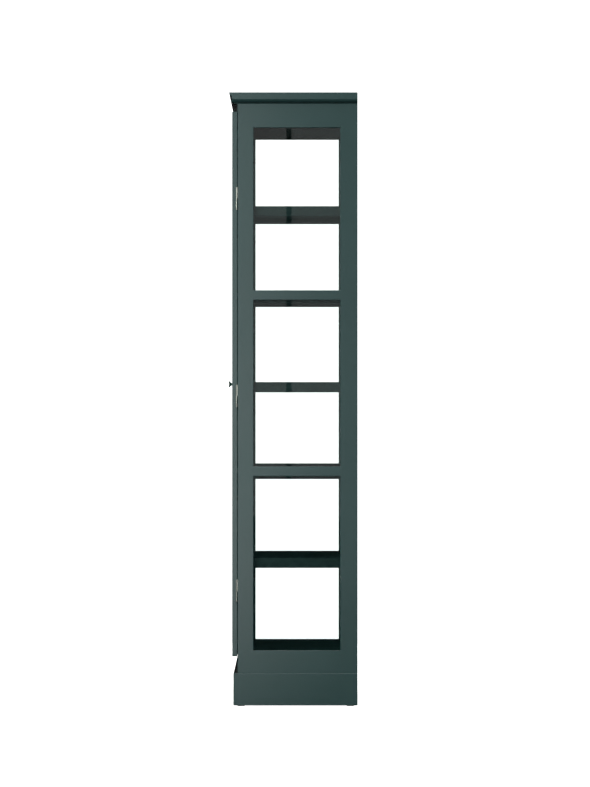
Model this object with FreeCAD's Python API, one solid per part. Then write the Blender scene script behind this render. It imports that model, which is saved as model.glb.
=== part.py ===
import FreeCAD, Part
import math
import os

# Tall two-door display cabinet with glazed sides and doors, standing on the floor at z = 0.
# Millimetres. +X is the right-hand side seen from the front, the doors face -Y, and +Z is up.

V = FreeCAD.Vector

# Heights of the side, from the floor up
glide_height = 2.5
plinth_height = 103.5
side_bottom_rail = 74.3
lower_light = 565.7
middle_light = 540.5
upper_light = 527.7
mid_rail = 31.0
side_top_rail = 77.2
bed_height = 13.6
crown_board_thick = 23.0

# Carcass in plan
carcass_width = 836.0
side_depth = 389.0
side_thick = 22.0
front_stile_width = 50.7
rear_stile_width = 56.0
rail_thick = 20.0
top_panel_thick = 18.0
floor_thick = 22.0
floor_drop = 2.3
back_thick = 5.0
back_lap = 8.0
back_gap = 0.6

# Frame joints and edges
tenon_length = 22.0
tenon_shoulder = 6.0
tenon_clearance = 0.15
tenon_thick_share = 0.4
edge_ease = 0.9

# Glass and its clips
glass_thick = 4.0
glass_lap = 8.0
glass_gap = 0.6
clip_height = 12.0
clip_width = 15.0
clip_thick = 2.6
clip_round = 1.8
clip_drop = 75.0
clip_step = 277.0

# Shelves and their pins
shelf_thick = 33.0
fixed_shelf_drop = 10.0
lower_shelf_rise = 269.5
middle_shelf_rise = 249.0
upper_shelf_rise = 248.5
shelf_setback = 20.0
loose_shelf_gap = 1.4
shelf_pin_radius = 2.5
shelf_pin_grip = 10.0
shelf_pin_reach = 9.0
shelf_pin_clearance = 0.03
front_pin_inset = 35.0
rear_pin_inset = 32.0

# Doors
door_thick = 16.0
door_gap = 2.2
door_meeting_gap = 2.6
door_top_gap = 3.0
door_bottom_gap = 10.4
door_bottom_rail = 54.0
door_stile_width = 50.0

# Lift-off butt hinges
hinge_height = 72.6
lower_hinge_rise = 213.0
middle_hinge_rise = 845.0
upper_hinge_drop = 281.0
knuckle_radius = 2.1
knuckle_gap = 0.3
leaf_width = 20.0
leaf_thick = 0.9
leaf_setback = 1.5
hinge_pin_radius = 1.1
hinge_pin_clearance = 0.05

# Knob, its screw and the catch
knob_rise = 884.0
knob_length = 16.5
knob_disc_radius = 11.0
knob_disc_thick = 2.2
knob_stem_radius = 3.2
knob_stem_length = 4.0
screw_radius = 1.9
screw_clearance = 0.1
screw_head_radius = 4.0
screw_head_thick = 2.2
screw_bite = 8.0
catch_width = 38.0
catch_height = 13.0
catch_depth = 16.0
catch_proud = 0.5
strike_thick = 1.2

# Crown
crown_overhang = 12.0
crown_reach = 28.4
crown_foot_reach = 16.0
crown_fascia_drop = 60.0
crown_fascia_thick = 6.0
crown_lip = 11.0
bed_width = 40.0
bed_flats = 6
quirk_height = 4.2
quirk_depth = 6.0

# Plinth
plinth_proud = 2.0
plinth_reach = 14.4
plinth_thick = 18.0
plinth_fascia_height = 44.4
plinth_fascia_top_reach = 4.0
plinth_fascia_thick = 2.0
glue_block_width = 30.0
glue_block_inset = 90.0
glide_radius = 11.5
glide_side_inset = 1.0
glide_front_inset = 11.0
glide_rear_inset = 24.0

# Wall fixing
wall_hole_radius = 2.5
wall_hole_spacing = 600.0

# Cutting tools run this far past what they cut, and points closer than this are one place
overrun = 5.0
same_place = 0.001
quarter_turn = 90.0

# Small pins, and the holes that take them, have this many flats in place of a round
peg_sides = 12

# Places worked out from the sizes
half_width = carcass_width / 2
inner_half = half_width - side_thick
crown_half = half_width + crown_overhang
plinth_half = half_width + plinth_proud
front_reach = max(crown_reach, door_gap + door_thick + knob_length)
front = (front_reach - side_depth) / 2
back = front + side_depth
back_face = back - back_thick
door_front = front - door_gap - door_thick
door_back = front - door_gap

plinth_top = glide_height + plinth_height
lower_light_low = plinth_top + side_bottom_rail
lower_light_high = lower_light_low + lower_light
middle_light_low = lower_light_high + mid_rail
middle_light_high = middle_light_low + middle_light
upper_light_low = middle_light_high + mid_rail
upper_light_high = upper_light_low + upper_light
side_top = upper_light_high + side_top_rail
crown_board_low = side_top + bed_height
cabinet_top = crown_board_low + crown_board_thick
crown_foot = cabinet_top - crown_fascia_drop
crown_slope = (crown_reach - crown_foot_reach) / crown_fascia_drop

floor_top = lower_light_low - floor_drop
ceiling = side_top - top_panel_thick
lower_fixed_low = lower_light_high - fixed_shelf_drop
upper_fixed_low = middle_light_high - fixed_shelf_drop
lower_shelf_low = floor_top + lower_shelf_rise
middle_shelf_low = lower_fixed_low + shelf_thick + middle_shelf_rise
upper_shelf_low = upper_fixed_low + shelf_thick + upper_shelf_rise
loose_shelf_lows = [lower_shelf_low, middle_shelf_low, upper_shelf_low]

door_low = plinth_top + plinth_fascia_height + door_bottom_gap
door_high = crown_foot - door_top_gap
door_width = half_width - door_meeting_gap / 2
hinge_x = half_width + knuckle_radius + knuckle_gap
hinge_y = door_back + leaf_thick - knuckle_radius
hinge_centres = [door_low + lower_hinge_rise, door_low + middle_hinge_rise, door_high - upper_hinge_drop]
meeting_stile_x = door_meeting_gap / 2 + door_stile_width / 2

side_lights = [
    (lower_light_low, lower_light_high),
    (middle_light_low, middle_light_high),
    (upper_light_low, upper_light_high),
]
door_lights = [(door_low + door_bottom_rail, lower_light_high)] + side_lights[1:]


def board(x0, x1, y0, y1, z0, z1):
    """Square-edged board between two corners."""
    return Part.makeBox(x1 - x0, y1 - y0, z1 - z0, V(x0, y0, z0))


def eased(shape, chosen=None):
    """Take the sharpness off every edge, or off the chosen ones."""
    edges = [edge for edge in shape.Edges if chosen is None or chosen(edge)]
    return shape.makeChamfer(edge_ease, edges)


def prism_along_x(outline, x0, x1):
    """Run an outline of (y, z) points from x0 to x1."""
    points = [V(x0, y, z) for y, z in outline]
    face = Part.Face(Part.makePolygon(points + points[:1]))
    return face.extrude(V(x1 - x0, 0, 0))


def prism_along_y(outline, y0, y1):
    """Run an outline of (x, z) points from y0 to y1."""
    points = [V(x, y0, z) for x, z in outline]
    face = Part.Face(Part.makePolygon(points + points[:1]))
    return face.extrude(V(0, y1 - y0, 0))


def prism_along_z(outline, z0, z1):
    """Run an outline of (x, y) points from z0 to z1."""
    points = [V(x, y, z0) for x, y in outline]
    face = Part.Face(Part.makePolygon(points + points[:1]))
    return face.extrude(V(0, 0, z1 - z0))


def rod(radius, start, direction, length):
    return Part.makeCylinder(radius, length, start, direction)


def peg(radius, start, direction, length):
    """Slim many-sided pin, with corners on the given radius."""
    corners = [V(radius * math.cos(turn), radius * math.sin(turn), 0)
               for turn in (2 * math.pi * side / peg_sides for side in range(peg_sides))]
    face = Part.Face(Part.makePolygon(corners + corners[:1]))
    pin = face.extrude(V(0, 0, length))
    pin.Placement = FreeCAD.Placement(start, FreeCAD.Rotation(V(0, 0, 1), direction))
    return pin


def mirrored(shape):
    """The left-hand twin of a right-hand piece."""
    return shape.mirror(V(0, 0, 0), V(1, 0, 0))


def save(name, *solids):
    """Write one node, of one solid or of a group of separate solids."""
    shape = solids[0] if len(solids) == 1 else Part.makeCompound(list(solids))
    shape.exportStep("parts/" + name + ".step")


def save_pair(name, *solids):
    """Write a right-hand node and its left-hand twin."""
    save("right_" + name, *solids)
    save("left_" + name, *[mirrored(solid) for solid in solids])


class GlazedFrame:
    """Stiles and rails round three panes. Drawn flat: x runs from the first stile to the last,
    y runs from the outer face inwards, and z is the real height."""

    def __init__(self, width, low, high, thick, first_stile, last_stile, lights):
        self.width = width
        self.low = low
        self.high = high
        self.thick = thick
        self.opening = (first_stile, width - last_stile)
        self.lights = lights
        lows = [bottom for bottom, top in lights]
        tops = [top for bottom, top in lights]
        self.rail_spans = list(zip([low] + tops, lows + [high]))

    def blank(self):
        """The whole frame before it is parted: windows, eased outer edges, then rebates for the glass."""
        left, right = self.opening
        shape = board(0, self.width, 0, self.thick, self.low, self.high)
        for bottom, top in self.lights:
            shape = shape.cut(board(left, right, -overrun, self.thick + overrun, bottom, top))
        shape = eased(shape, lambda edge: all(abs(point.Y) < same_place for point in edge.Vertexes))
        seat = self.thick - glass_thick
        for bottom, top in self.lights:
            rebate = board(left - glass_lap, right + glass_lap, seat, self.thick + overrun,
                           bottom - glass_lap, top + glass_lap)
            shape = shape.cut(rebate)
        return shape

    def tenon(self, joint_x, span, room):
        """A tenon across the joint line at joint_x, or its mortise when it has room all round."""
        lip = self.thick - glass_thick
        half_thick = lip * tenon_thick_share / 2
        return board(joint_x - tenon_length - room, joint_x + tenon_length + room,
                     lip / 2 - half_thick - room, lip / 2 + half_thick + room,
                     span[0] + tenon_shoulder - room, span[1] - tenon_shoulder + room)

    def members(self):
        """First stile, last stile, and the rails from the bottom up."""
        left, right = self.opening
        blank = self.blank()
        deep = self.thick + overrun
        first = blank.common(board(-overrun, left, -overrun, deep, self.low, self.high))
        last = blank.common(board(right, self.width + overrun, -overrun, deep, self.low, self.high))
        rails = []
        for span in self.rail_spans:
            first = first.cut(self.tenon(left, span, tenon_clearance))
            last = last.cut(self.tenon(right, span, tenon_clearance))
            rail = blank.common(board(left, right, -overrun, deep, span[0], span[1]))
            tenons = [self.tenon(left, span, 0), self.tenon(right, span, 0)]
            rails.append(rail.fuse(tenons).removeSplitter())
        return first, last, rails

    def panes(self):
        left, right = self.opening
        reach = glass_lap - glass_gap
        seat = self.thick - glass_thick
        return [board(left - reach, right + reach, seat, self.thick, bottom - reach, top + reach)
                for bottom, top in self.lights]

    def clips(self):
        """Rounded clips on the inner face, two to each stile of a light, lapping the pane's edge."""
        left, right = self.opening
        shapes = []
        for bottom, top in self.lights:
            for drop in (clip_drop, clip_drop + clip_step):
                z = top - drop
                for x in (left - clip_width, right):
                    plate = board(x, x + clip_width, self.thick, self.thick + clip_thick,
                                  z - clip_height / 2, z + clip_height / 2)
                    crown_y = self.thick + clip_thick
                    rim = [edge for edge in plate.Edges
                           if all(abs(point.Y - crown_y) < same_place for point in edge.Vertexes)]
                    shapes.append(plate.makeChamfer(clip_round, rim))
        return shapes


def turned_to_right_side(shape):
    """Set a flat-drawn side frame up as the right-hand side: outer face to +X, first stile to the front."""
    shape = shape.copy()
    shape.rotate(V(0, 0, 0), V(0, 0, 1), quarter_turn)
    shape.translate(V(half_width, front, 0))
    return shape


def set_as_right_door(shape):
    """Set a flat-drawn door frame up in front of the carcass, first stile at the meeting line."""
    shape = shape.copy()
    shape.translate(V(door_meeting_gap / 2, door_front, 0))
    return shape


def shelf_pin_places():
    """Where the loose shelves' pins enter the right-hand side: (y, z) of each pin's axis."""
    return [(y, low - shelf_pin_radius)
            for low in loose_shelf_lows
            for y in (front + front_pin_inset, back - rear_pin_inset)]


def make_sides():
    frame = GlazedFrame(side_depth, plinth_top, side_top, side_thick,
                        front_stile_width, rear_stile_width, side_lights)
    first, last, rails = frame.members()
    front_stile = turned_to_right_side(first)
    rear_stile = turned_to_right_side(last)
    back_rebate = board(inner_half - overrun, inner_half + back_lap, back_face, back + overrun,
                        plinth_top - overrun, side_top + overrun)
    rear_stile = rear_stile.cut(back_rebate)
    for y, z in shelf_pin_places():
        hole = peg(shelf_pin_radius + shelf_pin_clearance, V(inner_half - overrun, y, z), V(1, 0, 0),
                   overrun + shelf_pin_grip)
        front_stile = front_stile.cut(hole)
        rear_stile = rear_stile.cut(hole)
    bottom_rail, lower_rail, upper_rail, top_rail = [turned_to_right_side(rail) for rail in rails]
    save_pair("side_front_stile", front_stile)
    save_pair("side_rear_stile", rear_stile)
    save_pair("side_bottom_rail", bottom_rail)
    save_pair("side_mid_rails", lower_rail, upper_rail)
    save_pair("side_top_rail", top_rail)
    save_pair("side_glass", *[turned_to_right_side(pane) for pane in frame.panes()])
    clips = [turned_to_right_side(clip) for clip in frame.clips()]
    save("side_glass_clips", *(clips + [mirrored(clip) for clip in clips]))


def make_carcass_boards():
    save("top_panel", board(-inner_half, inner_half, front, back_face, ceiling, side_top))
    save("bottom_panel", board(-inner_half, inner_half, front, back_face, floor_top - floor_thick, floor_top))
    save("bottom_front_rail",
         board(-inner_half, inner_half, front, front + rail_thick, plinth_top, floor_top - floor_thick))
    back_half = inner_half + back_lap - back_gap
    back_panel = board(-back_half, back_half, back_face, back, plinth_top, side_top)
    wall_rail = board(-inner_half, inner_half, back_face - rail_thick, back_face, upper_light_high, ceiling)
    for x in (-wall_hole_spacing / 2, wall_hole_spacing / 2):
        start = V(x, back_face - rail_thick - overrun, (upper_light_high + ceiling) / 2)
        hole = rod(wall_hole_radius, start, V(0, 1, 0), rail_thick + back_thick + overrun + overrun)
        back_panel = back_panel.cut(hole)
        wall_rail = wall_rail.cut(hole)
    save("back_panel", back_panel)
    save("wall_rail", wall_rail)


def beside_meeting_line(y0, y1):
    """Block under the header, behind the right-hand meeting stile."""
    return board(meeting_stile_x - catch_width / 2, meeting_stile_x + catch_width / 2, y0, y1,
                 upper_light_high - catch_height, upper_light_high)


def make_header_and_catches():
    """Header behind the doors' top rails, with a magnetic catch under it for each door."""
    save("front_header", board(-inner_half, inner_half, front, front + rail_thick, upper_light_high, ceiling))
    catch = beside_meeting_line(front - catch_proud, front - catch_proud + catch_depth)
    save("magnetic_catches", catch, mirrored(catch))
    save_pair("door_strike_plate", beside_meeting_line(door_back, door_back + strike_thick))


def make_shelves():
    shelf_front = front + shelf_setback
    for name, low in (("lower_fixed_shelf", lower_fixed_low), ("upper_fixed_shelf", upper_fixed_low)):
        save(name, eased(board(-inner_half, inner_half, shelf_front, back_face, low, low + shelf_thick)))
    loose_half = inner_half - loose_shelf_gap
    for name, low in zip(("lower_shelf", "middle_shelf", "upper_shelf"), loose_shelf_lows):
        save(name, eased(board(-loose_half, loose_half, shelf_front, back_face - loose_shelf_gap,
                               low, low + shelf_thick)))
    pins = []
    for y, z in shelf_pin_places():
        pin = peg(shelf_pin_radius, V(inner_half - shelf_pin_reach, y, z), V(1, 0, 0),
                  shelf_pin_reach + shelf_pin_grip)
        pins += [pin, mirrored(pin)]
    save("shelf_pins", *pins)


def crown_front_y(z):
    """Show face of the sloped crown fascia at height z."""
    return front - crown_reach + crown_slope * (cabinet_top - z)


def crown_back_y(z):
    """Back of the sloped crown fascia at height z."""
    return crown_front_y(z) + crown_fascia_thick


def crown_end():
    """The crown's right-hand end below its board, as (x, z) points of a quarter round that turns under."""
    reach = crown_half - edge_ease - half_width
    drop = bed_height - quirk_height
    turns = [math.radians(quarter_turn * step / bed_flats) for step in range(bed_flats + 1)]
    return [(half_width + reach * math.cos(turn), crown_board_low - drop * math.sin(turn)) for turn in turns]


def make_crown():
    """Top board with a lip, thin sloped fascia under the lip, and rounded bed mouldings above a shadow groove.
    Gives the section of the glue blocks behind the fascia."""
    lip_low = cabinet_top - crown_lip
    section = [
        (crown_front_y(lip_low), lip_low),
        (crown_back_y(lip_low), lip_low),
        (crown_back_y(crown_foot), crown_foot),
        (crown_front_y(crown_foot), crown_foot),
    ]
    right_end = [(crown_half - edge_ease, lip_low)] + crown_end() + [(half_width, crown_foot)]
    left_end = [(-x, z) for x, z in reversed(right_end)]
    fascia = prism_along_x(section, -crown_half, crown_half)
    fascia = fascia.common(prism_along_y(right_end + left_end, front - crown_reach, front))

    def long_show_edge(edge):
        return edge.Length > half_width and all(abs(point.Y - crown_front_y(point.Z)) < same_place
                                                for point in edge.Vertexes)

    save("crown_front_fascia", eased(fascia, long_show_edge))
    brow_y = crown_front_y(cabinet_top)
    top_section = [
        (brow_y, cabinet_top),
        (back, cabinet_top),
        (back, crown_board_low),
        (crown_back_y(crown_board_low), crown_board_low),
        (crown_back_y(lip_low), lip_low),
        (crown_front_y(lip_low), lip_low),
    ]
    top_board = prism_along_x(top_section, -crown_half, crown_half)

    def on_end_or_brow(edge):
        on_end = abs(edge.CenterOfMass.x) > crown_half - same_place
        return on_end or all(abs(point.Y - brow_y) < same_place for point in edge.Vertexes)

    save("crown_top_board", eased(top_board, on_end_or_brow))
    bed = [
        (half_width - bed_width, crown_board_low),
        (half_width - bed_width, side_top),
        (half_width - quirk_depth, side_top),
        (half_width - quirk_depth, side_top + quirk_height),
    ] + crown_end()[::-1]
    behind_fascia = [
        (crown_back_y(side_top), side_top),
        (back, side_top),
        (back, crown_board_low),
        (crown_back_y(crown_board_low), crown_board_low),
    ]
    right_bed = prism_along_y(bed, front - crown_reach, back).common(prism_along_x(behind_fascia, 0, crown_half))
    rear_bed = board(bed_width - half_width, half_width - bed_width, back - rail_thick, back,
                     side_top, crown_board_low)
    save("crown_bed_mouldings", right_bed, mirrored(right_bed), rear_bed)
    return [
        (crown_back_y(crown_board_low), crown_board_low),
        (front, crown_board_low),
        (front, crown_foot),
        (crown_back_y(crown_foot), crown_foot),
    ]


def glue_blocks(section):
    """Three short blocks of one (y, z) section across the cabinet."""
    reach = half_width - glue_block_inset
    return [prism_along_x(section, x - glue_block_width / 2, x + glue_block_width / 2) for x in (-reach, 0, reach)]


def make_plinth():
    """Boards mitred at the front corners, a thin sloped fascia above, glides below.
    Gives the section of the glue blocks behind the fascia."""
    plinth_front = front - plinth_reach
    blank = eased(board(-plinth_half, plinth_half, plinth_front, back, glide_height, plinth_top))
    inner_x = plinth_half - plinth_thick
    inner_y = plinth_front + plinth_thick
    wide = plinth_half + overrun
    ahead = plinth_front - overrun
    low = glide_height - overrun
    high = plinth_top + overrun
    front_trapezoid = [(-wide, ahead), (wide, ahead), (inner_x, inner_y), (-inner_x, inner_y)]
    side_trapezoid = [(wide, ahead), (wide, back + overrun), (inner_x, back + overrun), (inner_x, inner_y)]
    save("plinth_front_board", blank.common(prism_along_z(front_trapezoid, low, high)))
    save_pair("plinth_side_board", blank.common(prism_along_z(side_trapezoid, low, high)))
    save("plinth_rear_board", board(-inner_x, inner_x, back - plinth_thick, back, glide_height, plinth_top))
    fascia_top = plinth_top + plinth_fascia_height
    foot_y = plinth_front + edge_ease
    head_y = front - plinth_fascia_top_reach
    outline = [
        (foot_y, plinth_top),
        (head_y, fascia_top),
        (head_y + plinth_fascia_thick, fascia_top),
        (foot_y + plinth_fascia_thick, plinth_top),
    ]
    save("plinth_front_fascia", prism_along_x(outline, -half_width, half_width))
    glides = []
    glide_x = plinth_half - glide_side_inset - glide_radius
    for y in (front + glide_front_inset, back - glide_rear_inset):
        glide = rod(glide_radius, V(glide_x, y, 0), V(0, 0, 1), glide_height)
        glides += [glide, mirrored(glide)]
    save("floor_glides", *glides)
    return [outline[3], outline[2], (front, fascia_top), (front, plinth_top)]


def knuckle(low):
    """One of a hinge's two knuckles, standing on height low."""
    return rod(knuckle_radius, V(hinge_x, hinge_y, low + knuckle_gap / 2), V(0, 0, 1),
               hinge_height / 2 - knuckle_gap)


def leaf_plate(plate_y, x1, low, height):
    return board(hinge_x - leaf_width, x1, plate_y, plate_y + leaf_thick, low, low + height)


def frame_leaf(low):
    """Plate on the front stile's edge, with a cranked neck to the lower knuckle."""
    plate_y = front - leaf_thick
    plate = leaf_plate(plate_y, half_width - leaf_setback, low, hinge_height)
    neck_start = V(half_width - leaf_setback, plate_y + leaf_thick / 2, low)
    neck_end = V(hinge_x, hinge_y + knuckle_radius - leaf_thick / 2, low)
    run = (neck_end - neck_start).normalize()
    half_neck = V(-run.y, run.x, 0) * (leaf_thick / 2)
    corners = [neck_start + half_neck, neck_start - half_neck, neck_end - half_neck, neck_end + half_neck]
    neck = prism_along_z([(point.x, point.y) for point in corners], low, low + hinge_height / 2 - knuckle_gap)
    return plate.fuse([neck, knuckle(low)]).removeSplitter().cut(hinge_bore(low))


def door_leaf(low):
    """Plate on the door's back, rolled into the upper knuckle."""
    plate = leaf_plate(door_back, half_width - leaf_setback, low, hinge_height)
    upper = low + hinge_height / 2
    tongue = leaf_plate(door_back, hinge_x, upper + knuckle_gap, hinge_height / 2 - knuckle_gap)
    return plate.fuse([tongue, knuckle(upper)]).removeSplitter().cut(hinge_bore(low))


def hinge_bore(low):
    return rod(hinge_pin_radius + hinge_pin_clearance, V(hinge_x, hinge_y, low - overrun), V(0, 0, 1),
               hinge_height + overrun + overrun)


def make_hinges():
    """Three hinges to a door, each with a pin through both knuckles."""
    lows = [centre - hinge_height / 2 for centre in hinge_centres]
    frame_leaves = [frame_leaf(low) for low in lows]
    pins = [peg(hinge_pin_radius, V(hinge_x, hinge_y, low), V(0, 0, 1), hinge_height) for low in lows]
    save("frame_hinge_leaves", *(frame_leaves + [mirrored(leaf) for leaf in frame_leaves]))
    save("hinge_pins", *(pins + [mirrored(pin) for pin in pins]))
    save_pair("door_hinge_leaves", *[door_leaf(low) for low in lows])


def make_knob():
    """Turned knob: thin stem, cone and flat disc, with a blind hole for its screw."""
    profile = [
        (0, 0),
        (knob_stem_radius, 0),
        (knob_stem_radius, knob_stem_length),
        (knob_disc_radius, knob_length - knob_disc_thick),
        (knob_disc_radius, knob_length),
        (0, knob_length),
    ]
    knob_z = door_low + knob_rise
    points = [V(meeting_stile_x + radius, door_front - out, knob_z) for radius, out in profile]
    face = Part.Face(Part.makePolygon(points + points[:1]))
    knob = face.revolve(V(meeting_stile_x, door_front, knob_z), V(0, 1, 0), quarter_turn * 4)
    start = V(meeting_stile_x, door_back + overrun, knob_z)
    bite = peg(screw_radius + screw_clearance, start, V(0, -1, 0), overrun + door_thick + screw_bite)
    head = rod(screw_head_radius, V(meeting_stile_x, door_back, knob_z), V(0, 1, 0), screw_head_thick)
    shank = peg(screw_radius, V(meeting_stile_x, door_back, knob_z), V(0, -1, 0), door_thick + screw_bite)
    save_pair("knob", knob.cut(bite))
    save_pair("knob_screw", head.fuse(shank).removeSplitter())
    return bite


def make_doors():
    frame = GlazedFrame(door_width, door_low, door_high, door_thick,
                        door_stile_width, door_stile_width, door_lights)
    first, last, rails = frame.members()
    bottom_rail, lower_rail, upper_rail, top_rail = [set_as_right_door(rail) for rail in rails]
    save_pair("door_meeting_stile", set_as_right_door(first).cut(make_knob()))
    save_pair("door_hinge_stile", set_as_right_door(last))
    save_pair("door_bottom_rail", bottom_rail)
    save_pair("door_mid_rails", lower_rail, upper_rail)
    save_pair("door_top_rail", top_rail)
    save_pair("door_glass", *[set_as_right_door(pane) for pane in frame.panes()])
    save_pair("door_glass_clips", *[set_as_right_door(clip) for clip in frame.clips()])


os.makedirs("parts", exist_ok=True)
make_sides()
make_carcass_boards()
make_header_and_catches()
make_shelves()
crown_block = make_crown()
plinth_block = make_plinth()
save("fascia_glue_blocks", *glue_blocks(crown_block), *glue_blocks(plinth_block))
make_hinges()
make_doors()
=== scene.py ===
"""Looks for a tall glazed display cabinet: finishes, small fittings and a plain studio."""

import math

import bmesh
import bpy
from bpy.props import FloatProperty, FloatVectorProperty, IntProperty, PointerProperty
from bpy.types import Operator, Panel, PropertyGroup
from mathutils import Matrix, Vector


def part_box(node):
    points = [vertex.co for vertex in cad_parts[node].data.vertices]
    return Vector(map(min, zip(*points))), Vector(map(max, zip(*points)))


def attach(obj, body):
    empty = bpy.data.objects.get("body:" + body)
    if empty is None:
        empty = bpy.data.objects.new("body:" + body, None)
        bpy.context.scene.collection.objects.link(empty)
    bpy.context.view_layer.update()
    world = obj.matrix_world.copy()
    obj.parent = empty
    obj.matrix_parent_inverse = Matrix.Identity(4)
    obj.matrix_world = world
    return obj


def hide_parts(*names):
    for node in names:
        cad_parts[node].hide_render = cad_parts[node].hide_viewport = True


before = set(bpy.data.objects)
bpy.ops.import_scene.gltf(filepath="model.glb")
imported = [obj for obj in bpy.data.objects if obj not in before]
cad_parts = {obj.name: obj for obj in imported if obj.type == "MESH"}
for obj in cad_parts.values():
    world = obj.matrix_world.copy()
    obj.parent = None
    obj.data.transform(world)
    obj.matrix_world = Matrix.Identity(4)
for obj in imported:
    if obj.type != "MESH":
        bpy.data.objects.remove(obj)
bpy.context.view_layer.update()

bl_info = {
    "name": "Display cabinet looks",
    "version": (1, 0, 0),
    "blender": (4, 5, 0),
    "location": "3D View > Sidebar > Cabinet",
    "description": "Finishes, small fittings and studio for a glazed display cabinet",
    "category": "Object",
}

mm = 0.001
weld = 0.005 * mm
sides = {"right": 1, "left": -1}
# Sockets of a Mix node, whose colours and numbers share their sockets' names
share, tone_a, tone_b, mixed_tone = 0, 6, 7, 2
number_a, number_b, mixed_number = 2, 3, 0


def linear(hex_colour):
    """Linear RGBA of an sRGB hex colour."""
    channels = [int(hex_colour[start:start + 2], 16) / 255 for start in (1, 3, 5)]
    return tuple(c / 12.92 if c <= 0.04045 else ((c + 0.055) / 1.055) ** 2.4
                 for c in channels) + (1.0,)


def colour(name, description, hex_colour):
    """Setting for a colour."""
    return FloatVectorProperty(name=name, description=description, subtype="COLOR", size=4,
                               min=0, max=1, default=linear(hex_colour))


def length(name, description, value_mm):
    """Setting for a length, kept in metres."""
    return FloatProperty(name=name, description=description, subtype="DISTANCE", unit="LENGTH",
                         min=0, precision=4, default=value_mm * mm)


class CabinetColours(PropertyGroup):
    """Colours of the finishes."""

    lacquer: colour("Lacquer", "Woodwork, where the coat is full", "#1C3A39")
    lacquer_thin: colour("Lacquer, thin", "Woodwork, where the coat lies thinner", "#1F3F3E")
    # A darker copy of the lacquer: painted shade for the boards inside and the mouldings under the
    # crown
    shelf: colour("Shelf lacquer", "Shelves and mouldings, where the coat is full", "#152E2D")
    shelf_thin: colour("Shelf lacquer, thin", "The same, where the coat lies thinner", "#183231")
    lacquer_edge: colour("Lacquer on edges", "Eased edges, which hands and cloths rub", "#2D4D4D")
    # Near-black painted shade for the thin fascias' cut ends
    painted_end_shade: colour("Painted end shade", "Cut ends of the two thin fascias", "#0B0D0D")
    glass: colour("Glass", "Light that comes through a pane's face", "#F6F9F8")
    glass_edge: colour("Glass edge", "Light that comes through a pane's long way", "#5E8F80")
    nickel: colour("Nickel", "Satin plate on knobs and hinges", "#B8BDB3")
    zinc: colour("Zinc", "Plate on screws, pins and strike plates", "#B9BCBE")
    zinc_tarnish: colour("Zinc tarnish", "Cloudy patches on the zinc plate", "#8E9294")
    ferrite: colour("Catch", "Plated catch bodies", "#6C6E70")
    black_plastic: colour("Black plastic", "Glass clips and buffers", "#16181A")
    dark_plastic: colour("Dark plastic", "Floor glides", "#26282A")


class CabinetFittings(PropertyGroup):
    """Sizes of the small fittings."""

    knob_round: length("Knob rim", "Radius of the knob's turned edges", 0.5)
    knob_waist: length("Knob waist", "Least radius of the knob's neck", 2.9)
    clip_screw: length("Clip screw", "Radius of a glass clip's screw head", 2.6)
    leaf_screw: length("Leaf screw", "Radius of a hinge leaf's countersunk head", 2.7)
    catch_screw: length("Catch screw", "Radius of a catch's screw head", 2.4)
    collar: length("Shelf pin collar", "Outer radius of the collar round a shelf pin", 4.0)
    buffer: length("Door buffer", "Radius of a door's rubber buffer", 4.0)
    knob_steps: IntProperty(name="Knob steps", description="Faces round a turned knob", min=16,
                            default=64)


class CabinetStudio(PropertyGroup):
    """Camera and lights."""

    distance: FloatProperty(name="Distance", description="Camera to the near side",
                            unit="LENGTH", default=17.3)
    height: FloatProperty(name="Height", description="Camera above the floor",
                          unit="LENGTH", default=1.0037)
    depth: FloatProperty(name="Depth", description="Camera behind the middle",
                         unit="LENGTH", default=0.033)
    lens: FloatProperty(name="Lens", description="Focal length", unit="CAMERA", default=244.1)
    key: FloatProperty(name="Keys", description="Power that the two keys take a share of",
                       subtype="POWER", default=70.0)
    strip: FloatProperty(name="Strips", description="Power that the strip and low lights go by",
                         subtype="POWER", default=3.1)
    panel: FloatProperty(name="Panels", description="Power of each panel that the glass mirrors",
                         subtype="POWER", default=4.8)
    fill: FloatProperty(name="Fills", description="Power that the large fills go by",
                        subtype="POWER", default=240.0)
    ambient: FloatProperty(name="Ambient", description="Light from all round", default=0.02)
    glow: FloatProperty(name="Glow", description="Brightness ahead of the doors in reflections",
                        default=0.2)


class CabinetSettings(PropertyGroup):
    """All that a user may change."""

    colours: PointerProperty(type=CabinetColours)
    fittings: PointerProperty(type=CabinetFittings)
    studio: PointerProperty(type=CabinetStudio)


def add_node(tree, kind, settings=None, links=None):
    """Adds a node, sets its options and sockets, and links other nodes' outputs into it."""
    node = tree.nodes.new(kind)
    for key, value in (settings or {}).items():
        if isinstance(key, int) or key in node.inputs:
            node.inputs[key].default_value = value
        else:
            setattr(node, key, value)
    for key, output in (links or {}).items():
        tree.links.new(output, node.inputs[key])
    return node


def new_material(name):
    """A material and its node tree, which is empty."""
    material = bpy.data.materials.new(name)
    material.use_nodes = True
    material.node_tree.nodes.clear()
    return material, material.node_tree


def per_metre(size_mm):
    """Texture scale that repeats a pattern about every size_mm."""
    return 1 / (size_mm * mm)


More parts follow.
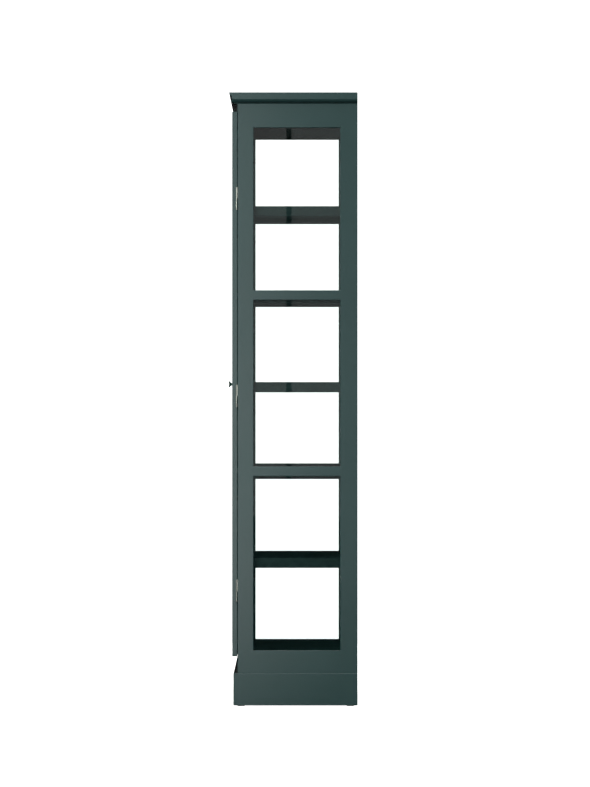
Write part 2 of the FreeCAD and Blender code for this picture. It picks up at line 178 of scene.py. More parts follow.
def sprayed_lacquer(name, tones, gloss_range, shine, worn_edges=False, shaded_ends=False):
    """Lacquer sprayed on primed board: a deep, even colour under a soft sheen, a faint orange peel
    and slightly lighter edges. Boards inside are duller than the frames. The thin fascias' cut
    ends can be painted near-black and dull, a painted shade."""
    shades = bpy.context.scene.cabinet.colours
    material, tree = new_material(name)
    place = add_node(tree, "ShaderNodeTexCoord")
    clouds = add_node(tree, "ShaderNodeTexNoise",
                      {"Scale": per_metre(180), "Detail": 3.0, "Roughness": 0.55},
                      {"Vector": place.outputs["Object"]})
    film = add_node(tree, "ShaderNodeMix",
                    {"data_type": "RGBA", tone_a: tones[0], tone_b: tones[1]},
                    {share: clouds.outputs["Fac"]})
    tone = film.outputs[mixed_tone]
    sheen = add_node(tree, "ShaderNodeMapRange",
                     {"To Min": gloss_range[0], "To Max": gloss_range[1]},
                     {"Value": clouds.outputs["Fac"]})
    gloss = sheen.outputs["Result"]
    if worn_edges:
        # An eased edge is the only face whose normal leans well away from all three axes
        lean = add_node(tree, "ShaderNodeVectorMath", {"operation": "ABSOLUTE"},
                        {0: place.outputs["Normal"]})
        axes = add_node(tree, "ShaderNodeSeparateXYZ", None, {"Vector": lean.outputs["Vector"]})
        wider = add_node(tree, "ShaderNodeMath", {"operation": "MAXIMUM"},
                         {0: axes.outputs["X"], 1: axes.outputs["Y"]})
        widest = add_node(tree, "ShaderNodeMath", {"operation": "MAXIMUM"},
                          {0: wider.outputs["Value"], 1: axes.outputs["Z"]})
        eased = add_node(tree, "ShaderNodeMapRange", {"From Min": 0.90, "From Max": 0.75},
                         {"Value": widest.outputs["Value"]})
        rubs = add_node(tree, "ShaderNodeTexNoise", {"Scale": per_metre(35), "Detail": 4.0},
                        {"Vector": place.outputs["Object"]})
        rubbed = add_node(tree, "ShaderNodeMath", {"operation": "MULTIPLY"},
                          {0: eased.outputs["Result"], 1: rubs.outputs["Fac"]})
        edge = add_node(tree, "ShaderNodeMix",
                        {"data_type": "RGBA", tone_b: shades.lacquer_edge},
                        {share: rubbed.outputs["Value"], tone_a: tone})
        tone = edge.outputs[mixed_tone]
    # Painted shade: faces that look along X, the thin fascias' cut ends, turn near-black and dull
    if shaded_ends:
        turned_to = add_node(tree, "ShaderNodeSeparateXYZ", None,
                             {"Vector": place.outputs["Normal"]})
        across = add_node(tree, "ShaderNodeMath", {"operation": "ABSOLUTE"},
                          {0: turned_to.outputs["X"]})
        cut = add_node(tree, "ShaderNodeMapRange", {"From Min": 0.90, "From Max": 0.98},
                       {"Value": across.outputs["Value"]})
        end_shaded = add_node(tree, "ShaderNodeMix", {"data_type": "RGBA", tone_b: shades.painted_end_shade},
                          {share: cut.outputs["Result"], tone_a: tone})
        tone = end_shaded.outputs[mixed_tone]
        dulled = add_node(tree, "ShaderNodeMix", {"data_type": "FLOAT", number_b: 0.95},
                          {share: cut.outputs["Result"], number_a: gloss})
        gloss = dulled.outputs[mixed_number]
    # Orange peel is about 2 mm across; it is drawn at 6 mm so that it shows
    peel = add_node(tree, "ShaderNodeTexNoise", {"Scale": per_metre(6), "Detail": 2.0},
                    {"Vector": place.outputs["Object"]})
    bump = add_node(tree, "ShaderNodeBump", {"Strength": 0.25, "Distance": 0.06 * mm},
                    {"Height": peel.outputs["Fac"]})
    shader = add_node(tree, "ShaderNodeBsdfPrincipled", {"IOR": 1.5, "Specular IOR Level": shine},
                      {"Base Color": tone, "Roughness": gloss, "Normal": bump.outputs["Normal"]})
    add_node(tree, "ShaderNodeOutputMaterial", None, {"Surface": shader.outputs["BSDF"]})
    return material


def float_glass():
    """Clear float glass: colourless through its faces, mirror-smooth, and green the long way
    through its edges."""
    index_of_glass = 1.5
    shades = bpy.context.scene.cabinet.colours
    material, tree = new_material("clear_float_glass")
    place = add_node(tree, "ShaderNodeTexCoord")
    axes = add_node(tree, "ShaderNodeSeparateXYZ", None, {"Vector": place.outputs["Normal"]})
    on_edge = add_node(tree, "ShaderNodeMath", {"operation": "ABSOLUTE"}, {0: axes.outputs["Z"]})
    tint = add_node(tree, "ShaderNodeMix",
                    {"data_type": "RGBA", tone_a: shades.glass, tone_b: shades.glass_edge},
                    {share: on_edge.outputs["Value"]})
    clear = add_node(tree, "ShaderNodeBsdfTransparent", None,
                     {"Color": tint.outputs[mixed_tone]})
    mirror = add_node(tree, "ShaderNodeBsdfGlossy", {"Roughness": 0.0})
    # A ray goes straight through, so the pane's far face must not turn it back as if it came
    # from inside glass
    surface = add_node(tree, "ShaderNodeNewGeometry")
    index = add_node(tree, "ShaderNodeMapRange",
                     {"To Min": index_of_glass, "To Max": 1 / index_of_glass},
                     {"Value": surface.outputs["Backfacing"]})
    bounce = add_node(tree, "ShaderNodeFresnel", None, {"IOR": index.outputs["Result"]})
    shader = add_node(tree, "ShaderNodeMixShader", None,
                      {0: bounce.outputs["Fac"], 1: clear.outputs["BSDF"],
                       2: mirror.outputs["BSDF"]})
    add_node(tree, "ShaderNodeOutputMaterial", None, {"Surface": shader.outputs["Shader"]})
    return material


def satin_nickel():
    """Satin nickel plate on pressed steel: soft grey metal, blurred by fine brushing along the
    hinge."""
    shades = bpy.context.scene.cabinet.colours
    material, tree = new_material("satin_nickel_plate")
    place = add_node(tree, "ShaderNodeTexCoord")
    # Brush lines are about 0.1 mm; they are drawn at 0.6 mm so that they show
    along = add_node(tree, "ShaderNodeMapping",
                     {"Scale": (per_metre(0.6), per_metre(0.6), per_metre(14))},
                     {"Vector": place.outputs["Object"]})
    lines = add_node(tree, "ShaderNodeTexNoise", {"Scale": 1.0, "Detail": 3.0},
                     {"Vector": along.outputs["Vector"]})
    gloss = add_node(tree, "ShaderNodeMapRange", {"To Min": 0.26, "To Max": 0.42},
                     {"Value": lines.outputs["Fac"]})
    bump = add_node(tree, "ShaderNodeBump", {"Strength": 0.15, "Distance": 0.02 * mm},
                    {"Height": lines.outputs["Fac"]})
    shader = add_node(tree, "ShaderNodeBsdfPrincipled",
                      {"Base Color": shades.nickel, "Metallic": 1.0},
                      {"Roughness": gloss.outputs["Result"], "Normal": bump.outputs["Normal"]})
    add_node(tree, "ShaderNodeOutputMaterial", None, {"Surface": shader.outputs["BSDF"]})
    return material


def turned_nickel(axis_x, axis_z):
    """Satin nickel on a turned knob: the same soft grey with fine rings left by the lathe."""
    shades = bpy.context.scene.cabinet.colours
    material, tree = new_material("turned_satin_nickel")
    place = add_node(tree, "ShaderNodeTexCoord")
    # Folding left onto right lets both knobs share one set of rings
    folded = add_node(tree, "ShaderNodeVectorMath", {"operation": "ABSOLUTE"},
                      {0: place.outputs["Object"]})
    centred = add_node(tree, "ShaderNodeMapping", {"Location": (-axis_x, 0, -axis_z)},
                       {"Vector": folded.outputs["Vector"]})
    # Rings 0.4935 mm apart: a wave texture of scale 1 has 20 rings in every 2 pi metres
    ring_scale = per_metre(0.4935) * 2 * math.pi / 20
    rings = add_node(tree, "ShaderNodeTexWave",
                     {"wave_type": "RINGS", "rings_direction": "Y", "Scale": ring_scale,
                      "Distortion": 0.6, "Detail": 2.0}, {"Vector": centred.outputs["Vector"]})
    gloss = add_node(tree, "ShaderNodeMapRange", {"To Min": 0.22, "To Max": 0.34},
                     {"Value": rings.outputs["Fac"]})
    bump = add_node(tree, "ShaderNodeBump", {"Strength": 0.2, "Distance": 0.01 * mm},
                    {"Height": rings.outputs["Fac"]})
    shader = add_node(tree, "ShaderNodeBsdfPrincipled",
                      {"Base Color": shades.nickel, "Metallic": 1.0},
                      {"Roughness": gloss.outputs["Result"], "Normal": bump.outputs["Normal"]})
    add_node(tree, "ShaderNodeOutputMaterial", None, {"Surface": shader.outputs["BSDF"]})
    return material


def zinc_plate():
    """Bright zinc plate on steel: bluish metal with cloudy, duller patches."""
    shades = bpy.context.scene.cabinet.colours
    material, tree = new_material("zinc_plated_steel")
    place = add_node(tree, "ShaderNodeTexCoord")
    clouds = add_node(tree, "ShaderNodeTexNoise", {"Scale": per_metre(5), "Detail": 4.0},
                      {"Vector": place.outputs["Object"]})
    tone = add_node(tree, "ShaderNodeMix",
                    {"data_type": "RGBA", tone_a: shades.zinc, tone_b: shades.zinc_tarnish},
                    {share: clouds.outputs["Fac"]})
    gloss = add_node(tree, "ShaderNodeMapRange", {"To Min": 0.25, "To Max": 0.5},
                     {"Value": clouds.outputs["Fac"]})
    shader = add_node(tree, "ShaderNodeBsdfPrincipled", {"Metallic": 1.0},
                      {"Base Color": tone.outputs[mixed_tone],
                       "Roughness": gloss.outputs["Result"]})
    add_node(tree, "ShaderNodeOutputMaterial", None, {"Surface": shader.outputs["BSDF"]})
    return material


def plated_magnet():
    """Nickel-plated ferrite: dark grey metal with a slightly pitted, sintered face."""
    shades = bpy.context.scene.cabinet.colours
    material, tree = new_material("plated_ferrite")
    place = add_node(tree, "ShaderNodeTexCoord")
    pits = add_node(tree, "ShaderNodeTexVoronoi", {"Scale": per_metre(1.2)},
                    {"Vector": place.outputs["Object"]})
    bump = add_node(tree, "ShaderNodeBump", {"Strength": 0.3, "Distance": 0.05 * mm},
                    {"Height": pits.outputs["Distance"]})
    gloss = add_node(tree, "ShaderNodeMapRange", {"To Min": 0.5, "To Max": 0.38},
                     {"Value": pits.outputs["Distance"]})
    shader = add_node(tree, "ShaderNodeBsdfPrincipled",
                      {"Base Color": shades.ferrite, "Metallic": 1.0},
                      {"Roughness": gloss.outputs["Result"], "Normal": bump.outputs["Normal"]})
    add_node(tree, "ShaderNodeOutputMaterial", None, {"Surface": shader.outputs["BSDF"]})
    return material


def moulded_plastic(name, tone, grain_mm, gloss_range):
    """Moulded plastic or rubber: a dark, matt skin with the fine spark texture of its mould."""
    material, tree = new_material(name)
    place = add_node(tree, "ShaderNodeTexCoord")
    spark = add_node(tree, "ShaderNodeTexNoise",
                     {"Scale": per_metre(grain_mm), "Detail": 4.0, "Roughness": 0.7},
                     {"Vector": place.outputs["Object"]})
    bump = add_node(tree, "ShaderNodeBump", {"Strength": 0.3, "Distance": 0.05 * mm},
                    {"Height": spark.outputs["Fac"]})
    gloss = add_node(tree, "ShaderNodeMapRange",
                     {"To Min": gloss_range[0], "To Max": gloss_range[1]},
                     {"Value": spark.outputs["Fac"]})
    shader = add_node(tree, "ShaderNodeBsdfPrincipled", {"Base Color": tone, "IOR": 1.49},
                      {"Roughness": gloss.outputs["Result"], "Normal": bump.outputs["Normal"]})
    add_node(tree, "ShaderNodeOutputMaterial", None, {"Surface": shader.outputs["BSDF"]})
    return material


def coat(material, nodes):
    """Gives carried-over nodes their finish."""
    for node in nodes:
        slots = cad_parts[node].material_slots
        for slot in slots:
            slot.material = material
        if not slots:
            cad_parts[node].data.materials.append(material)


def nodes_of_slot(slot_name):
    """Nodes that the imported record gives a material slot, told by the material they came with."""
    return [name for name, piece in sorted(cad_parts.items()) if piece.material_slots
            and piece.material_slots[0].material.name.split(".")[0] == slot_name]


def solids_of(node):
    """Lowest and highest corners of each separate solid in a node."""
    mesh = bmesh.new()
    mesh.from_mesh(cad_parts[node].data)
    bmesh.ops.remove_doubles(mesh, verts=mesh.verts, dist=weld)
    waiting = set(mesh.verts)
    boxes = []
    while waiting:
        reached = [waiting.pop()]
        points = []
        while reached:
            vert = reached.pop()
            points.append(vert.co.copy())
            for edge in vert.link_edges:
                other = edge.other_vert(vert)
                if other in waiting:
                    waiting.remove(other)
                    reached.append(other)
        boxes.append(tuple(Vector(pick(point[axis] for point in points) for axis in range(3))
                           for pick in (min, max)))
    mesh.free()
    return sorted(boxes, key=lambda box: tuple(round(c, 4) for c in box[0]))


def shape_to_mesh(shape, name):
    """Ends a bmesh as a named mesh with outward faces."""
    bmesh.ops.remove_doubles(shape, verts=shape.verts, dist=weld)
    bmesh.ops.recalc_face_normals(shape, faces=shape.faces)
    mesh = bpy.data.meshes.new(name)
    shape.to_mesh(mesh)
    shape.free()
    return mesh


def add_piece(name, mesh, material, body):
    """Puts a finished mesh in the scene, on the body that carries it."""
    piece = bpy.data.objects.new(name, mesh)
    bpy.context.scene.collection.objects.link(piece)
    mesh.materials.append(material)
    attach(piece, body)
    return piece


def repeated(name, pattern, places):
    """One mesh with a copy of the pattern at every place."""
    shape = bmesh.new()
    for place in places:
        start = len(shape.verts)
        shape.from_mesh(pattern)
        shape.verts.ensure_lookup_table()
        bmesh.ops.transform(shape, matrix=place, verts=shape.verts[start:])
    mesh = bpy.data.meshes.new(name)
    shape.to_mesh(mesh)
    shape.free()
    return mesh


def facing(point, direction):
    """Matrix that sets a pattern made on the floor upon a point, its top towards direction."""
    turn = Vector((0, 0, 1)).rotation_difference(Vector(direction))
    return Matrix.Translation(point) @ turn.to_matrix().to_4x4()


def cross_head(radius, rise, wall_share, sink):
    """Screw head with a cross recess, standing on the floor: a wall, a crowned top and four
    driver arms. The wall takes wall_share of the rise and the crown the rest."""
    arms = 4
    steps = 16
    steps_per_arm = steps // arms
    step_angle = 2 * math.pi / steps
    crown_width, land_width = 0.22 * radius, 0.12 * radius
    floor_share = 0.8
    # Outline of the recess from one arm's end to the next: how far out, and how many steps round
    reach = (0.62, 0.58, 0.24, 0.58)
    drift = (0.0, -0.45, 0.0, 0.45)
    shape = bmesh.new()
    bmesh.ops.create_circle(shape, cap_ends=True, segments=steps, radius=radius)
    wall = bmesh.ops.extrude_face_region(shape, geom=shape.faces[:])["geom"]
    top = [item for item in wall if isinstance(item, bmesh.types.BMFace)]
    rim = [item for item in wall if isinstance(item, bmesh.types.BMVert)]
    bmesh.ops.translate(shape, verts=rim, vec=(0, 0, rise * wall_share))
    bmesh.ops.inset_region(shape, faces=top, thickness=crown_width, depth=rise * (1 - wall_share))
    bmesh.ops.inset_region(shape, faces=top, thickness=land_width, depth=0)
    for vert in top[0].verts:
        angle = math.atan2(vert.co.y, vert.co.x)
        step = round(angle / step_angle) % steps_per_arm
        angle += drift[step] * step_angle
        vert.co.x = radius * reach[step] * math.cos(angle)
        vert.co.y = radius * reach[step] * math.sin(angle)
    well = bmesh.ops.extrude_face_region(shape, geom=top)["geom"]
    floor = [item for item in well if isinstance(item, bmesh.types.BMVert)]
    bmesh.ops.delete(shape, geom=top, context="FACES_ONLY")
    bmesh.ops.translate(shape, verts=floor, vec=(0, 0, -sink))
    bmesh.ops.scale(shape, vec=(floor_share, floor_share, 1), verts=floor)
    return shape_to_mesh(shape, "cross_head")


def turned(profile, steps, round_radius, rounded):
    """Solid of revolution about the upright axis from (radius, height) points. The points whose
    places in the profile are in rounded get a round corner."""
    round_steps = 4
    shape = bmesh.new()
    verts = [shape.verts.new((radius, 0, height)) for radius, height in profile]
    for first, second in zip(verts, verts[1:]):
        shape.edges.new((first, second))
    bmesh.ops.bevel(shape, geom=[verts[index] for index in rounded], offset=round_radius,
                    affect="VERTICES", segments=round_steps, profile=0.5, material=-1)
    bmesh.ops.spin(shape, geom=shape.verts[:] + shape.edges[:], cent=(0, 0, 0), axis=(0, 0, 1),
                   dvec=(0, 0, 0), angle=2 * math.pi, steps=steps, use_merge=True,
                   use_duplicate=False)
    mesh = shape_to_mesh(shape, "turned")
    for face in mesh.polygons:
        face.use_smooth = True
    return mesh


class CABINET_OT_stage(Operator):
    """Sets up a pale floor, a white surround, soft lights and the camera"""

    bl_idname = "cabinet.stage"
    bl_label = "Set the stage"

    def execute(self, context):
        studio = context.scene.cabinet.studio
        context.scene.view_settings.view_transform = "Standard"
        self.make_floor(context.scene)
        self.make_surround(context.scene, studio)
        self.make_lights(context.scene, studio)
        self.make_camera(context.scene, studio)
        return {"FINISHED"}

    def make_floor(self, scene):
        """A floor that is white to the eye, shows a faint contact shadow and throws no light
        back."""
        half_width = 4.0
        shape = bmesh.new()
        bmesh.ops.create_grid(shape, x_segments=1, y_segments=1, size=half_width)
        mesh = shape_to_mesh(shape, "studio_floor")
        material, tree = new_material("white_studio_floor")
        shader = add_node(tree, "ShaderNodeBsdfPrincipled",
                          {"Base Color": linear("#F2F2F0"), "Roughness": 0.9,
                           "Emission Color": linear("#FFFFFF"), "Emission Strength": 1.0})
        add_node(tree, "ShaderNodeOutputMaterial", None, {"Surface": shader.outputs["BSDF"]})
        mesh.materials.append(material)
        floor = bpy.data.objects.new("studio_floor", mesh)
        floor.visible_diffuse = False
        floor.visible_glossy = False
        scene.collection.objects.link(floor)

    def make_surround(self, scene, studio):
        """White to the eye and dim as a light, with a soft glow ahead of the doors that only
        reflections show."""
        world = bpy.data.worlds.new("studio_surround")
        world.use_nodes = True
        tree = world.node_tree
        tree.nodes.clear()
        white = linear("#FFFFFF")
        ray = add_node(tree, "ShaderNodeLightPath")
        place = add_node(tree, "ShaderNodeTexCoord")
        axes = add_node(tree, "ShaderNodeSeparateXYZ", None,
                        {"Vector": place.outputs["Generated"]})
        glow = add_node(tree, "ShaderNodeMapRange",
                        {"interpolation_type": "SMOOTHSTEP", "From Min": -0.2, "From Max": -1.0,
                         "To Min": 0.0, "To Max": studio.glow}, {"Value": axes.outputs["Y"]})
        level = add_node(tree, "ShaderNodeMix", {"data_type": "FLOAT", number_a: studio.ambient},
                         {share: ray.outputs["Is Glossy Ray"], number_b: glow.outputs["Result"]})
        dim = add_node(tree, "ShaderNodeBackground", {"Color": white},
                       {"Strength": level.outputs[mixed_number]})
        bright = add_node(tree, "ShaderNodeBackground", {"Color": white, "Strength": 1.8})
        both = add_node(tree, "ShaderNodeMixShader", None,
                        {0: ray.outputs["Is Camera Ray"], 1: dim.outputs["Background"],
                         2: bright.outputs["Background"]})
        add_node(tree, "ShaderNodeOutputWorld", None, {"Surface": both.outputs["Shader"]})
        scene.world = world

    def make_lights(self, scene, studio):
        """Two keys towards the front right, a strip and a panel that give the right side its
        sheen, two panels with a slit between them that show in its glass, and fills all round."""
        key, strip, panel, fill = studio.key, studio.strip, studio.panel, studio.fill
        # Name, place, aim, width and height in metres, power, and whether surfaces mirror it
        lights = (
            ("key", (1.52, -3.2, 2.5), (0.4, 0, 1.0), (1.4, 1.4), key * 0.4, True),
            ("side_key", (3.2, -2.0, 2.6), (0.4, 0, 1.0), (1.4, 1.4), key * 0.85, True),
            ("overhead", (0.3, -0.2, 5.0), (0, 0, 1.0), (3.0, 3.0), fill * 0.6, True),
            ("low_fill", (1.45, -0.05, 0.25), (0.4, 0, 0.2), (0.5, 0.4), strip * 0.9, False),
            ("tall_strip", (1.66, -0.32, 1.1), (0.4, 0, 1.1), (0.33, 2.2), strip * 1.5, True),
            ("low_panel", (4.34, -0.69, 0.6), (0.4, 0, 0.6), (1.0, 1.1), strip * 3.7, True),
            ("front_panel", (3.4, -0.668, 1.75), (0, -0.668, 1.75), (1.28, 2.4), panel, True),
            ("rear_panel", (3.4, 0.631, 1.75), (0, 0.631, 1.75), (1.28, 2.4), panel, True),
            ("front_fill", (-0.7, -4.2, 0.75), (-0.2, 0, 0.75), (2.6, 1.2), fill * 1.1, False),
            ("left_fill", (-4.0, -1.2, 0.9), (0, 0, 0.9), (2.4, 1.5), fill * 0.3, False),
            ("back_fill", (0.6, 4.2, 2.6), (0, 0, 1.0), (2.6, 2.6), fill, False),
        )
        for name, place, aim, size, power, mirrored in lights:
            light = bpy.data.lights.new(name, "AREA")
            light.shape = "RECTANGLE"
            light.size, light.size_y = size
            light.energy = power
            lamp = bpy.data.objects.new(name, light)
            lamp.location = place
            view = Vector(aim) - Vector(place)
            lamp.rotation_euler = view.to_track_quat("-Z", "Y").to_euler()
            lamp.visible_camera = False
            lamp.visible_glossy = mirrored
            scene.collection.objects.link(lamp)

    def make_camera(self, scene, studio):
        """A long lens square to the right side. The shift moves the lens axis to its place in
        the picture."""
        picture_width, picture_height = 590, 787
        axis_across, axis_down = 302.5, 396.6
        camera = bpy.data.cameras.new("photograph_view")
        camera.sensor_width = 36.0
        camera.lens = studio.lens
        camera.clip_end = 100
        camera.shift_x = (picture_width / 2 - axis_across) / picture_height
        camera.shift_y = (axis_down - picture_height / 2) / picture_height
        viewer = bpy.data.objects.new("photograph_view", camera)
        side_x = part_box("right_side_front_stile")[1].x
        viewer.location = (side_x + studio.distance, studio.depth, studio.height)
        viewer.rotation_euler = (math.pi / 2, 0, math.pi / 2)
        scene.collection.objects.link(viewer)
        scene.camera = viewer


class CABINET_OT_woodwork(Operator):
    """Lacquers every wooden piece"""

    bl_idname = "cabinet.woodwork"
    bl_label = "Lacquer the woodwork"

    def execute(self, context):
        mouldings = ["crown_bed_mouldings"]
        fascias = ["crown_front_fascia", "plinth_front_fascia"]
        shelves = ["upper_shelf", "upper_fixed_shelf", "middle_shelf", "lower_fixed_shelf",
                   "lower_shelf", "top_panel", "bottom_panel"]
        inside = ["back_panel", "front_header", "wall_rail"]
        apart = mouldings + fascias + shelves + inside
        outside = [name for name in nodes_of_slot("paint") if name not in apart]
        shades = context.scene.cabinet.colours
        frame_tones = (shades.lacquer, shades.lacquer_thin)
        # Shelves and mouldings take the darker copy of the lacquer as painted shade
        shaded_tones = (shades.shelf, shades.shelf_thin)
        satin = {"gloss_range": (0.30, 0.38), "shine": 0.5}
        matt = {"gloss_range": (0.55, 0.68), "shine": 0.2}
        coat(sprayed_lacquer("satin_lacquer_on_board", frame_tones, **satin, worn_edges=True),
             outside)
        coat(sprayed_lacquer("shaded_matt_lacquer_on_moulding", shaded_tones, **matt), mouldings)
        # The fascias' cut ends get painted shade, near-black and dull
        coat(sprayed_lacquer("satin_lacquer_on_fascia", frame_tones, **satin, shaded_ends=True),
             fascias)
        coat(sprayed_lacquer("matt_lacquer_on_board", frame_tones, **matt, worn_edges=True), inside)
        coat(sprayed_lacquer("shaded_matt_lacquer_on_shelf", shaded_tones, **matt), shelves)
        return {"FINISHED"}


class CABINET_OT_glazing(Operator):
    """Glazes the doors and sides"""

    bl_idname = "cabinet.glazing"
    bl_label = "Glaze the frames"

    def execute(self, context):
        coat(float_glass(), nodes_of_slot("glass"))
        return {"FINISHED"}


class CABINET_OT_hardware(Operator):
    """Finishes the metal and plastic parts"""

    bl_idname = "cabinet.hardware"
    bl_label = "Finish the hardware"

    def execute(self, context):
        shades = context.scene.cabinet.colours
        coat(satin_nickel(), nodes_of_slot("nickel"))
        coat(zinc_plate(), nodes_of_slot("steel"))
        coat(plated_magnet(), nodes_of_slot("magnet"))
        coat(moulded_plastic("black_moulded_plastic", shades.black_plastic, grain_mm=0.8,
                             gloss_range=(0.38, 0.55)), nodes_of_slot("clip_plastic"))
        coat(moulded_plastic("dark_moulded_plastic", shades.dark_plastic, grain_mm=1.5,
                             gloss_range=(0.5, 0.7)), nodes_of_slot("glide_plastic"))
        return {"FINISHED"}


class CABINET_OT_knobs(Operator):
    """Turns a knob for each door, with its fixing screw"""

    bl_idname = "cabinet.knobs"
    bl_label = "Turn the knobs"

    def execute(self, context):
        fittings = context.scene.cabinet.fittings
        low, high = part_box("right_knob")
        axis_x, axis_z = (low.x + high.x) / 2, (low.z + high.z) / 2
        reach, rim = high.y - low.y, (high.x - low.x) / 2
        foot, waist = 3.4 * mm, fittings.knob_waist
        dish = 0.35 * mm
        profile = [
            # Foot on the door
            (0, 0), (foot, 0), (foot, 0.8 * mm),
            # Neck, and the flare towards the head
            (waist, 1.7 * mm), (waist, 3.4 * mm),
            (3.5 * mm, 5.4 * mm), (5.0 * mm, 8.2 * mm), (7.4 * mm, 11.2 * mm),
            # Edge of the head, then its dished face
            (rim, reach - 2.2 * mm), (rim, reach), (rim - 1.4 * mm, reach),
            (rim - 1.9 * mm, reach - dish), (0, reach - dish),
        ]
        foot_edge, head_back, head_front = 2, 8, 9
        pattern = turned(profile, fittings.knob_steps, fittings.knob_round,
                         rounded=(foot_edge, head_back, head_front))
        finish = turned_nickel(axis_x, axis_z)
        head = cross_head(radius=4.0 * mm, rise=2.2 * mm, wall_share=0.55, sink=1.2 * mm)
        zinc = bpy.data.materials["zinc_plated_steel"]
        screw_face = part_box("right_door_meeting_stile")[1].y
        for side, sign in sides.items():
            front = facing((sign * axis_x, high.y, axis_z), (0, -1, 0))
            knob = add_piece(f"{side}_turned_knob", repeated("turned_knob", pattern, [front]),
                             finish, f"{side}_door")
            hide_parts(f"{side}_knob")
            back = facing((sign * axis_x, screw_face, axis_z), (0, 1, 0))
            screw = add_piece(f"{side}_knob_screw_head",
                              repeated("knob_screw_head", head, [back]), zinc,
                              f"{side}_door")
            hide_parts(f"{side}_knob_screw")
        return {"FINISHED"}


class CABINET_OT_clip_screws(Operator):
    """Drives a screw through every glass clip"""

    bl_idname = "cabinet.clip_screws"
    bl_label = "Drive the clip screws"

    def execute(self, context):
        # A clip's outer half lies on the wood, and its screw goes there
        off_glass = 3.6 * mm
        pattern = cross_head(radius=context.scene.cabinet.fittings.clip_screw, rise=1.1 * mm,
                             wall_share=0.5, sink=0.7 * mm)
        zinc = bpy.data.materials["zinc_plated_steel"]
        places = []
        for low, high in solids_of("side_glass_clips"):
            inner, inward = (low.x, -1) if low.x > 0 else (high.x, 1)
            y = (low.y + high.y) / 2 + (off_glass if low.y > 0 else -off_glass)
            places.append(facing((inner, y, (low.z + high.z) / 2), (inward, 0, 0)))
        add_piece("side_clip_screws", repeated("side_clip_screws", pattern, places), zinc,
                  "carcass")
        for side in sides:
            glass_low, glass_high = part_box(f"{side}_door_glass")
            middle = (glass_low.x + glass_high.x) / 2
            places = []
            for low, high in solids_of(f"{side}_door_glass_clips"):
                x = (low.x + high.x) / 2 + (off_glass if low.x > middle else -off_glass)
                places.append(facing((x, high.y, (low.z + high.z) / 2), (0, 1, 0)))
            add_piece(f"{side}_door_clip_screws", repeated("door_clip_screws", pattern, places),
                      zinc, f"{side}_door")
        return {"FINISHED"}


class CABINET_OT_hinge_screws(Operator):
    """Drives three countersunk screws through every hinge leaf"""

    bl_idname = "cabinet.hinge_screws"
    bl_label = "Drive the hinge screws"

    def execute(self, context):
        leaf_thick = 0.9 * mm
        pattern = cross_head(radius=context.scene.cabinet.fittings.leaf_screw, rise=0.12 * mm,
                             wall_share=0.5, sink=0.1 * mm)
        zinc = bpy.data.materials["zinc_plated_steel"]
        places = []
        for low, high in solids_of("frame_hinge_leaves"):
            places += self.row(low, high, high.y - leaf_thick, (0, -1, 0))
        add_piece("frame_leaf_screws", repeated("frame_leaf_screws", pattern, places), zinc,
                  "carcass")
        for side in sides:
            places = []
            for low, high in solids_of(f"{side}_door_hinge_leaves"):
                places += self.row(low, high, high.y, (0, 1, 0))
            add_piece(f"{side}_door_leaf_screws", repeated("door_leaf_screws", pattern, places),
                      zinc, f"{side}_door")
        return {"FINISHED"}

    def row(self, low, high, face_y, direction):
        """Places of one leaf's screws, staggered on the plate."""
        pitch = 25.0 * mm
        near, far = 7.0 * mm, 11.0 * mm
        middle = (low.z + high.z) / 2
        places = []
        for rise, inset in ((-pitch, near), (0, far), (pitch, near)):
            x = low.x + inset if low.x > 0 else high.x - inset
            places.append(facing((x, face_y, middle + rise), direction))
        return places


class CABINET_OT_catches(Operator):
    """Adds pole plates and screws to the magnetic catches"""

    bl_idname = "cabinet.catches"
    bl_label = "Fit the catches"

    def execute(self, context):
        plate_size = (30 * mm, 1.2 * mm, 2.2 * mm)
        plate_levels = (0.25, 0.75)
        plate_sink = 0.35 * mm
        plate_round = 0.2 * mm
        screw_offset = 13 * mm
        plates = bmesh.new()
        places = []
        for low, high in solids_of("magnetic_catches"):
            middle = (low + high) / 2
            for level in plate_levels:
                z = low.z + (high.z - low.z) * level
                plate = bmesh.ops.create_cube(plates, size=1.0)["verts"]
                bmesh.ops.scale(plates, vec=plate_size, verts=plate)
                bmesh.ops.translate(plates, vec=(middle.x, low.y + plate_sink, z), verts=plate)
            places += [facing((middle.x + offset, middle.y, low.z), (0, 0, -1))
                       for offset in (-screw_offset, screw_offset)]
        bmesh.ops.bevel(plates, geom=plates.edges[:], offset=plate_round, affect="EDGES",
                        segments=2, profile=0.5, material=-1)
        zinc = bpy.data.materials["zinc_plated_steel"]
        add_piece("catch_pole_plates", shape_to_mesh(plates, "catch_pole_plates"), zinc,
                  "carcass")
        pattern = cross_head(radius=context.scene.cabinet.fittings.catch_screw, rise=1.0 * mm,
                             wall_share=0.5, sink=0.6 * mm)
        add_piece("catch_screws", repeated("catch_screws", pattern, places), zinc, "carcass")
        return {"FINISHED"}


class CABINET_OT_pin_collars(Operator):
    """Rings every shelf pin with a pressed collar"""

    bl_idname = "cabinet.pin_collars"
    bl_label = "Ring the shelf pins"

    def execute(self, context):
        bore, outer = 2.55 * mm, context.scene.cabinet.fittings.collar
        # A closed ring of section: flat on the wood, low at its edge and highest near the pin
        profile = [(bore, 0), (outer, 0), (outer, 0.6 * mm), (bore + 0.5 * mm, 1.0 * mm),
                   (bore, 0.7 * mm), (bore, 0)]
        outer_edge, crest = 2, 3
        pattern = turned(profile, steps=24, round_radius=0.15 * mm, rounded=(outer_edge, crest))
        wall_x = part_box("right_side_glass")[0].x
        places = []
        for low, high in solids_of("shelf_pins"):
            sign = 1 if low.x > 0 else -1
            point = (sign * wall_x, (low.y + high.y) / 2, (low.z + high.z) / 2)
            places.append(facing(point, (-sign, 0, 0)))
        add_piece("shelf_pin_collars", repeated("shelf_pin_collars", pattern, places),
                  bpy.data.materials["zinc_plated_steel"], "carcass")
        return {"FINISHED"}


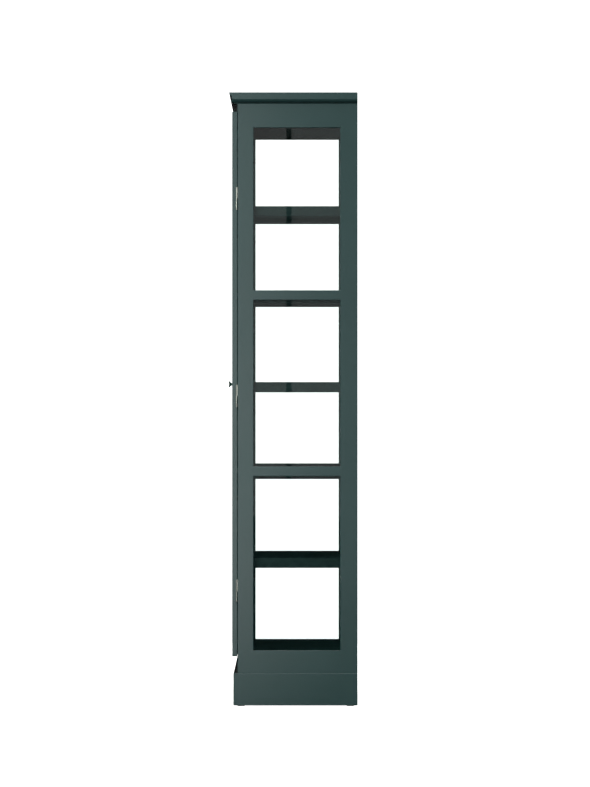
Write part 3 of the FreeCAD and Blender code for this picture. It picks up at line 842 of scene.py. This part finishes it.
class CABINET_OT_buffers(Operator):
    """Sticks rubber buffers behind the meeting edges of the doors"""

    bl_idname = "cabinet.buffers"
    bl_label = "Stick on the buffers"

    def execute(self, context):
        radius = context.scene.cabinet.fittings.buffer
        above_bottom, below_top = 8.4 * mm, 20 * mm
        profile = [(0, 0), (radius, 0), (radius, 0.7 * mm), (radius * 0.72, 1.7 * mm),
                   (0, 2.0 * mm)]
        skirt, shoulder = 2, 3
        pattern = turned(profile, steps=32, round_radius=0.4 * mm, rounded=(skirt, shoulder))
        rubber = moulded_plastic("black_rubber", context.scene.cabinet.colours.black_plastic,
                                 grain_mm=1.0, gloss_range=(0.55, 0.75))
        for side in sides:
            low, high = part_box(f"{side}_door_meeting_stile")
            middle = (low.x + high.x) / 2
            places = [facing((middle, high.y, z), (0, 1, 0))
                      for z in (low.z + above_bottom, high.z - below_top)]
            add_piece(f"{side}_door_buffers", repeated("door_buffers", pattern, places), rubber,
                      f"{side}_door")
        return {"FINISHED"}


class CABINET_PT_panel(Panel):
    """Lists the settings and the steps"""

    bl_idname = "CABINET_PT_panel"
    bl_label = "Display cabinet"
    bl_space_type = "VIEW_3D"
    bl_region_type = "UI"
    bl_category = "Cabinet"

    def draw(self, context):
        settings = context.scene.cabinet
        for group in (settings.colours, settings.fittings, settings.studio):
            box = self.layout.box()
            for name in group.__annotations__:
                box.prop(group, name)
        for operator in operators:
            self.layout.operator(operator.bl_idname)


operators = (CABINET_OT_stage, CABINET_OT_woodwork, CABINET_OT_glazing, CABINET_OT_hardware,
             CABINET_OT_knobs, CABINET_OT_clip_screws, CABINET_OT_hinge_screws,
             CABINET_OT_catches, CABINET_OT_pin_collars, CABINET_OT_buffers)
classes = (CabinetColours, CabinetFittings, CabinetStudio, CabinetSettings, *operators,
           CABINET_PT_panel)


def register():
    for item in classes:
        bpy.utils.register_class(item)
    bpy.types.Scene.cabinet = PointerProperty(type=CabinetSettings)


def unregister():
    del bpy.types.Scene.cabinet
    for item in reversed(classes):
        bpy.utils.unregister_class(item)


def main():
    register()
    bpy.ops.cabinet.stage()
    bpy.ops.cabinet.woodwork()
    bpy.ops.cabinet.glazing()
    bpy.ops.cabinet.hardware()
    bpy.ops.cabinet.knobs()
    bpy.ops.cabinet.clip_screws()
    bpy.ops.cabinet.hinge_screws()
    bpy.ops.cabinet.catches()
    bpy.ops.cabinet.pin_collars()
    bpy.ops.cabinet.buffers()


if __name__ == "__main__":
    main()
